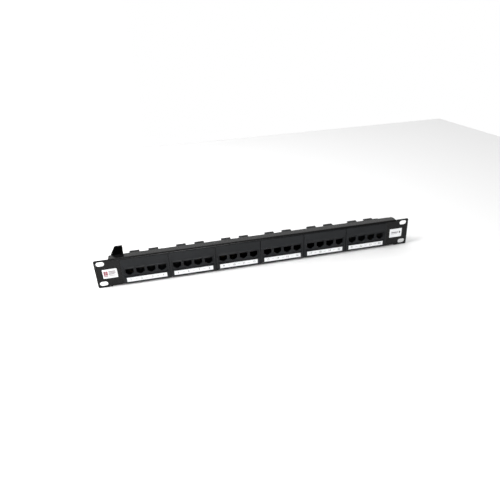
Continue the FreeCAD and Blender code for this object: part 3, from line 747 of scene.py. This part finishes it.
runningNumbers = numberTree()
dashLook = {"across": 3.4 * mm, "thick": 0.05 * mm, "tall": 0.28 * mm}
numberSpots = []
dashSpots = []
for module in modules:
    low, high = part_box(f"label_strip_{module}")
    level = (low.z + high.z) / 2
    centres = [(left.x + right.x) / 2 for left, right in solidsOf(f"socket_housings_{module}")]
    numberSpots += [(x, low.y, level) for x in centres]
    dashSpots += [((one + other) / 2, low.y, level) for one, other in zip(centres, centres[1:])]
dashSpan = (dashLook["across"], dashLook["thick"], dashLook["tall"])
numbers = grow("stripNumbers", runningNumbers, numberSizes, numberFinish, numberSpots)
dashes = grow("stripDashes", smallBlocks, {}, numberFinish, dashSpots, spans=[dashSpan] * len(dashSpots))
settle(numbers, "panel")
settle(dashes, "panel")

# the same numbers on the boards, beside the punch blocks and read from behind
boardNumberSizes = {"First": 1, "Count": 24, "Height": 3.0 * mm, "Thickness": 0.03 * mm, "Turn": math.pi}
boardNumberLevel = 4.3 * mm
boardSpots = []
for module in modules:
    for centre, rear in sorted(blockSpots[module], key=lambda spot: (round(spot[0].x, 4), spot[0].z)):
        boardSpots.append((centre.x, boardRear, math.copysign(boardNumberLevel, centre.z)))
boardNumbers = grow("boardNumbers", runningNumbers, boardNumberSizes, boardInkFinish, boardSpots)
settle(boardNumbers, "panel")

# printed marks on the ear tags, plain bars and squares: across, up, width and height in mm, colour
tagMarks = {
    "left": [
        (-7.4, 2.4, 2.7, 3.0, (0.22, 0.01, 0.03)), (-4.4, -0.8, 2.7, 3.0, (0.22, 0.01, 0.03)),
        (-4.4, 2.4, 2.7, 3.0, (0.34, 0.05, 0.08)), (-7.4, -0.8, 2.7, 3.0, (0.30, 0.04, 0.07)),
        (-5.9, -3.6, 5.7, 1.0, (0.22, 0.01, 0.03)),
        (2.8, 3.3, 9.0, 1.3, (0.16, 0.11, 0.12)), (3.3, 1.2, 10.0, 1.3, (0.20, 0.16, 0.17)),
        (2.2, -0.9, 7.8, 1.3, (0.16, 0.12, 0.13)), (3.4, -3.4, 10.2, 0.8, (0.24, 0.21, 0.21)),
    ],
    "right": [
        (-1.4, 1.0, 12.0, 1.7, (0.12, 0.12, 0.13)), (-2.4, -1.4, 10.0, 0.9, (0.30, 0.30, 0.31)),
        (6.9, 0.9, 2.1, 3.4, (0.02, 0.02, 0.02)), (-1.0, 3.4, 12.8, 0.4, (0.42, 0.42, 0.42)),
    ],
}
markThick = 0.04 * mm
for side, marks in tagMarks.items():
    low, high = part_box(f"tag_{side}")
    centre = (low + high) / 2
    spots = [(centre.x + mark[0] * mm, low.y, centre.z + mark[1] * mm) for mark in marks]
    spans = [(mark[2] * mm, markThick, mark[3] * mm) for mark in marks]
    made = grow(f"tagMarks{side.title()}", smallBlocks, {}, tagInkFinish, spots,
                colours=[mark[4] for mark in marks], spans=spans)
    settle(made, "panel")
print("marks and numbers set")


# stage

camera = {
    "place": (-0.12622, -0.58376, 0.30731), "yaw": 10.69, "pitch": 26.93, "roll": -3.17,
    "focal": 443.78, "frame": 500.0, "sensor": 36.0,
}


def buildCamera(spec):
    yaw, pitch, roll = (math.radians(spec[key]) for key in ("yaw", "pitch", "roll"))
    forward = Vector((math.sin(yaw) * math.cos(pitch), math.cos(yaw) * math.cos(pitch), -math.sin(pitch)))
    level = Vector((math.cos(yaw), -math.sin(yaw), 0))
    upright = level.cross(forward)
    right = level * math.cos(roll) + upright * math.sin(roll)
    up = upright * math.cos(roll) - level * math.sin(roll)
    data = bpy.data.cameras.new("camera")
    data.sensor_width = spec["sensor"]
    data.lens = spec["focal"] / spec["frame"] * spec["sensor"]
    data.clip_start = 0.01
    made = bpy.data.objects.new("camera", data)
    turn = Matrix((right, up, -forward)).transposed().to_4x4()
    made.matrix_world = Matrix.Translation(Vector(spec["place"])) @ turn
    scene.collection.objects.link(made)
    scene.camera = made


def areaLight(name, place, target, size, power):
    data = bpy.data.lights.new(name, "AREA")
    data.shape = "RECTANGLE"
    data.size, data.size_y = size
    data.energy = power
    made = bpy.data.objects.new(name, data)
    aim = (Vector(target) - Vector(place)).to_track_quat("-Z", "Y")
    made.matrix_world = Matrix.Translation(Vector(place)) @ aim.to_matrix().to_4x4()
    scene.collection.objects.link(made)


buildCamera(camera)

# the floor is kept small, because it would turn grey further out
floorLook = {"size": 1.7, "gap": 0.2 * mm, "colour": (0.90, 0.90, 0.90), "rough": 0.7}
bpy.ops.mesh.primitive_plane_add(size=floorLook["size"], location=(0, 0, cadBox[0][2] - floorLook["gap"]))
floor = bpy.context.active_object
floor.name = "floor"
floor.data.materials.append(startMaterial("paleFloor", floorLook["colour"], floorLook["rough"])[0])

# a tall soft box low in front, one above on the left, a wide one overhead; sky brighter at the rear and left
sky = {
    "zenith": 0.08, "rear": 0.62, "left": 0.75, "right": 0.08, "strength": 1.0,
    "fade": (0.35, 0.85), "rearSpan": (-0.1, 0.7), "sideSpan": (-0.8, 0.6),
}
lights = {
    "lowFront": {"place": (-0.06, -1.15, 0.20), "aim": (-0.06, 0, 0.03), "size": (0.40, 0.36), "power": 7.0},
    "leftTop": {"place": (-0.75, -0.10, 0.85), "aim": (-0.20, -0.05, 0), "size": (0.6, 0.6), "power": 13.0},
    "overhead": {"place": (0.0, 0.90, 1.80), "aim": (0, 0.1, 0), "size": (4.5, 3.0), "power": 41.0},
}


def buildSky(look):
    world = bpy.data.worlds.new("studio")
    world.use_nodes = True
    tree = world.node_tree
    background = tree.nodes["Background"]
    direction = addNode(tree, "ShaderNodeTexCoord").outputs["Generated"]
    part = addNode(tree, "ShaderNodeSeparateXYZ", {"Vector": direction}).outputs
    low = mapRange(tree, part["Z"], 1.0, 0.0, *look["fade"])
    high = calculate(tree, "SUBTRACT", 1.0, low)
    rear = mapRange(tree, part["Y"], 0.0, look["rear"], *look["rearSpan"])
    across = mapRange(tree, part["X"], look["left"], look["right"], *look["sideSpan"])
    ring = calculate(tree, "MULTIPLY", calculate(tree, "ADD", rear, across), low)
    light = calculate(tree, "MULTIPLY_ADD", high, look["zenith"], ring)
    seen = addNode(tree, "ShaderNodeLightPath").outputs["Is Camera Ray"]  # plain white to the camera
    tree.links.new(calculate(tree, "MAXIMUM", light, seen), background.inputs["Color"])
    background.inputs["Strength"].default_value = look["strength"]
    scene.world = world


buildSky(sky)
for name, look in lights.items():
    areaLight(name, look["place"], look["aim"], look["size"], look["power"])
scene.view_settings.view_transform = "Standard"
print("stage set")
